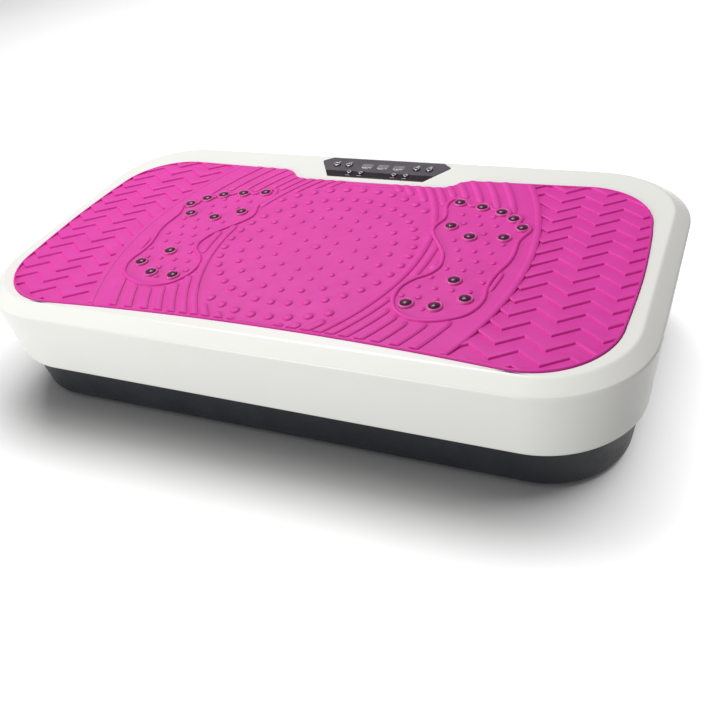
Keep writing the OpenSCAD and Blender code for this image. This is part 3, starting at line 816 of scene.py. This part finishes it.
def panel_plates():
    """Face plate in two tones: a grey rear band and a black front one, which lies a little lower."""
    outline = round_corners(PANEL_XY, 1.4)
    low = PANEL_TOP_Z - PANEL_T
    for name, finish, y0, y1, top in (("panel_rear", "panel", BAND_Y, 180, PANEL_TOP_Z),
                                      ("panel_front", "panel_dark", 100, BAND_Y, PANEL_TOP_Z - BAND_DROP)):
        b = Build()
        b.stack(outline, [(0, low), (0, top - 0.5), (-0.12, top - 0.2), (-0.45, top), (-1.2, top)])
        cuts = [("INTERSECT", block(-90, 90, y0, y1, *CUT_Z))] + panel_cuts()
        plate = boolean(b.mesh("plate"), cuts, name, 30)
        piece(name, plate, MATS[finish], "deck", "panel", "panel_bezel")


def panel_lenses():
    top = PANEL_TOP_Z
    b = Build()
    for x, y in WINDOW_XY:
        rows = b.skin([lift(window_outline(x, y, -d), z) for d, z in
                       [(0, top - 1), (0, top - 0.3), (0.15, top - 0.1), (0.5, top), (1.6, top + 0.12),
                        (3.4, top + 0.2)]])
        b.face(rows[0])
        b.face(rows[-1])
    lenses = b.mesh("panel_lenses")
    piece("panel_lenses", lenses, MATS["panel_window"], "deck", "panel_window", "panel_windows")


def panel_marks():
    """Generic print: a bar under each window and lower key, and a sign by each upper key."""
    marks = [bar(x, y - 7.6, 3.4, 0.8) for x, y in WINDOW_XY]
    for (x, y), turn in (((-56, 158.2), 90), ((-41, 158.2), 270)):
        marks.append(arc(x, y, 1.5, turn, turn + 240, 2))
    marks.append(bar(41, 157, 1.1, 2.2))
    marks.append(circle(56, 158.1, 1.2, 16))
    marks += [bar(x, y - 6.4, 2.6, 0.7) for x, y in LOWER_KEYS.values()]
    b = Build()
    for mark in marks:
        z = PANEL_TOP_Z - (0 if mark[0][1] > BAND_Y else BAND_DROP)
        b.stack(mark, [(0, z - 0.1), (0, z + 0.05)])
    piece("panel_marks", b.mesh("panel_marks", 30), MATS["print"], "deck", "panel_window")


def keys():
    """Push keys with a dished cap and a pale ring round the dish."""
    for group, r, proud in ((UPPER_KEYS, UPPER_KEY_R, 1.8), (LOWER_KEYS, LOWER_KEY_R, 0.9)):
        foot = PANEL_TOP_Z - PANEL_T - 1.2
        for name, (x, y) in group.items():
            z = PANEL_TOP_Z
            profile = [(r + 0.8, foot), (r + 0.8, foot + 1), (r, foot + 1)]
            profile += [(radius, z + share * proud) for radius, share in
                        [(r, 0.35), (r - 0.08, 0.62), (r - 0.35, 0.86), (r - 0.8, 0.97), (r - 1.3, 1),
                         (r - 1.7, 0.94), (0.5 * r, 0.84), (0.25 * r, 0.78), (0, 0.76)]]
            b = Build()
            b.face(lathe(b, profile, (x, y), 36)[0])
            piece(name + "_cap", b.mesh(name + "_cap", 30), MATS["key"], name, "key", name)
            b = Build()
            at = z + proud - 0.05
            ring = [(r - 1.3 + 0.42 * math.cos(a), at + 0.16 * math.sin(a))
                    for a in np.linspace(0, 2 * math.pi, 9)[:-1]]
            rows = lathe(b, ring, (x, y), 36)
            b.skin([rows[-1], rows[0]])
            piece(name + "_ring", b.mesh(name + "_ring"), MATS["print"], name, "key")


panel_plates()
panel_lenses()
panel_marks()
keys()


# ---------------------------------------------------------------- base tub
def base_tub():
    """Tapered tub with a rim at the bottom, cooling slots, the inlet's opening and the feet's holes."""
    b = Build()
    path = [inset(TUB_LOW, TUB_WALL + 12, 8), inset(TUB_LOW, TUB_WALL, 8), inset(TUB_MID, TUB_WALL),
            inset(TUB_TOP, TUB_WALL), TUB_TOP, TUB_MID, TUB_LOW, inset(TUB_LOW, 12)]
    rows = b.skin(section_loops(filleted(path, {1: 2, 3: 0.8, 4: 0.8, 5: 2, 6: 4.5})))
    b.face(rows[0])
    b.face(rows[-1])
    tub = b.mesh("tub")
    cuts = [("DIFFERENCE", block(*INLET_CUT))]
    for y in range(-60, 61, 20):
        slot_outline = np.vstack([arc(43, y, 2, -90, 90, 8), arc(-43, y, 2, 90, 270, 8)])
        cuts.append(("DIFFERENCE", prism(slot_outline, 2, 10)))
    cuts += [("DIFFERENCE", prism(circle(x, y, FOOT_HOLE_R, 20), 2, 10)) for x, y in FOOT_XY]
    piece("base_shell", boolean(tub, cuts, "base_shell", 40), MATS["base"], "base", "base", "base_tub")


def feet():
    """Grooved rubber pads, each held by a cross-head screw in its middle."""
    pads, heads = Build(), []
    pad = [(FOOT_HOLE_R, 5), (FOOT_HOLE_R, 2.5), (7, 2.5), (7, 0.4), (7.4, 0), (9.4, 0), (9.7, 0.9),
           (10.7, 0.9), (11, 0), (13.6, 0), (13.9, 0.9), (14.9, 0.9), (15.2, 0), (19.6, 0), (20.4, 0.3),
           (21.9, 4.5), (21.9, 5)]
    screw = [(0, 0.6), (3.4, 0.6), (4.5, 0.95), (5, 1.6), (5, 2.5), (2, 2.5), (2, 20.6), (0, 20.6)]
    for x, y in FOOT_XY:
        rows = lathe(pads, pad, (x, y), 48)
        pads.skin([rows[-1], rows[0]])
        b = Build()
        lathe(b, screw, (x, y), 32)
        cross = [("DIFFERENCE", block(x - u, x + u, y - v, y + v, 0.2, 1.7))
                 for u, v in ((0.6, 2.7), (2.7, 0.6))]
        heads.append(boolean(b.mesh("screw"), cross, "screw", 35))
    piece("foot_pads", pads.mesh("foot_pads", 30), MATS["rubber"], "base", "rubber", "feet")
    b = Build()
    for mesh in heads:
        b.bm.from_mesh(mesh)
    screws = b.mesh("foot_cross_screws", 35)
    piece("foot_cross_screws", screws, MATS["fastener"], "base", "fastener", "foot_screws")


base_tub()
feet()


# ---------------------------------------------------------------- camera, light, floor
def look():
    """Camera at the three-quarter front view, with a slight roll."""
    azimuth, elevation, roll = (math.radians(v) for v in (28.42, 36.63, -9.38))
    back = Vector((math.sin(azimuth) * math.cos(elevation), -math.cos(azimuth) * math.cos(elevation),
                   math.sin(elevation)))
    right = Vector((math.cos(azimuth), math.sin(azimuth), 0))
    up = back.cross(right)
    tilted_right = right * math.cos(roll) + up * math.sin(roll)
    tilted_up = up * math.cos(roll) - right * math.sin(roll)
    target, camera_range = Vector((0.11155, -0.1695, 0.13)), 0.71008
    place = target + back * camera_range
    data = bpy.data.cameras.new("camera")
    data.lens, data.sensor_width = 43.34, 36
    data.shift_x, data.shift_y = -0.0035, -0.0138
    data.clip_start = 0.01
    camera = bpy.data.objects.new("camera", data)
    rotation = Matrix((tilted_right, tilted_up, back)).transposed()
    camera.matrix_world = Matrix.Translation(place) @ rotation.to_4x4()
    bpy.context.scene.collection.objects.link(camera)
    bpy.context.scene.camera = camera


def area_light(name, place, aim, size, watts, colour=(1, 1, 1), receivers=None):
    """Softbox aimed at a point; receivers, if given, is the collection that says what it lights."""
    data = bpy.data.lights.new(name, "AREA")
    data.shape = "RECTANGLE"
    data.size, data.size_y = size
    data.energy = watts
    data.color = colour
    o = bpy.data.objects.new(name, data)
    o.location = place
    o.rotation_euler = (Vector(aim) - Vector(place)).to_track_quat("-Z", "Y").to_euler()
    bpy.context.scene.collection.objects.link(o)
    if receivers:
        o.light_linking.receiver_collection = receivers


def light_group(name, objects, state):
    """Collection that tells a light to reach only these objects, or to leave them out."""
    group = bpy.data.collections.new(name)
    for o in objects:
        group.objects.link(o)
    for member in group.collection_objects:
        member.light_linking.link_state = state
    return group


def stage():
    """Pale floor, soft lights and a plain world."""
    b = Build()
    xs = np.linspace(-4000, 4000, 24)
    b.skin([[(x, y, 0) for x in xs] for y in xs], closed=False)
    floor_mat = finish_material("floor", (250, 250, 250), (253, 253, 253), rough=(0.6, 0.7),
                                mottle=3, grain=60, grain_depth=0.0001, specular=0.1)
    floor = add_object("floor", b.mesh("floor"), floor_mat)
    floor.visible_diffuse = False
    top_pieces = [o for o in bpy.data.objects if o.name.startswith(("mat", "stud_"))]
    all_but_floor = light_group("all_but_floor", [floor], "EXCLUDE")
    body_only = light_group("body_only", [floor] + top_pieces, "EXCLUDE")
    mat_only = light_group("mat_only", top_pieces, "INCLUDE")
    floor_only = light_group("floor_only", [floor], "INCLUDE")
    world = bpy.data.worlds.new("studio")
    world.use_nodes = True
    world.node_tree.nodes["Background"].inputs["Color"].default_value = (1, 1, 1, 1)
    world.node_tree.nodes["Background"].inputs["Strength"].default_value = 0.21
    bpy.context.scene.world = world
    centre = (0, 0, 0.1)
    area_light("top_softbox", (-0.7, 0.8, 1.9), centre, (0.9, 0.9), 35, receivers=all_but_floor)
    area_light("front_softbox", (-0.75, -2.1, 0.6), centre, (1.1, 0.8), 35, receivers=body_only)
    area_light("mat_key", (-1.6, -1.45, 0.7), centre, (0.5, 0.5), 22, receivers=mat_only)
    area_light("mat_front", (-0.75, -2.1, 0.5), centre, (0.6, 0.6), 9, receivers=mat_only)
    area_light("right_fill", (1.9, 0.3, 0.9), centre, (1.0, 1.0), 4, (1, 0.95, 0.94), all_but_floor)
    area_light("floor_right", (0.9, 0.5, 1.8), centre, (1.4, 1.4), 31, receivers=floor_only)
    area_light("floor_left", (-0.6, 0.9, 1.9), centre, (1.4, 1.4), 28, receivers=floor_only)
    area_light("floor_wash", (-0.1, 0.75, 2.1), centre, (1.4, 1.4), 14, receivers=floor_only)
    bpy.context.scene.view_settings.view_transform = "Standard"


look()
stage()
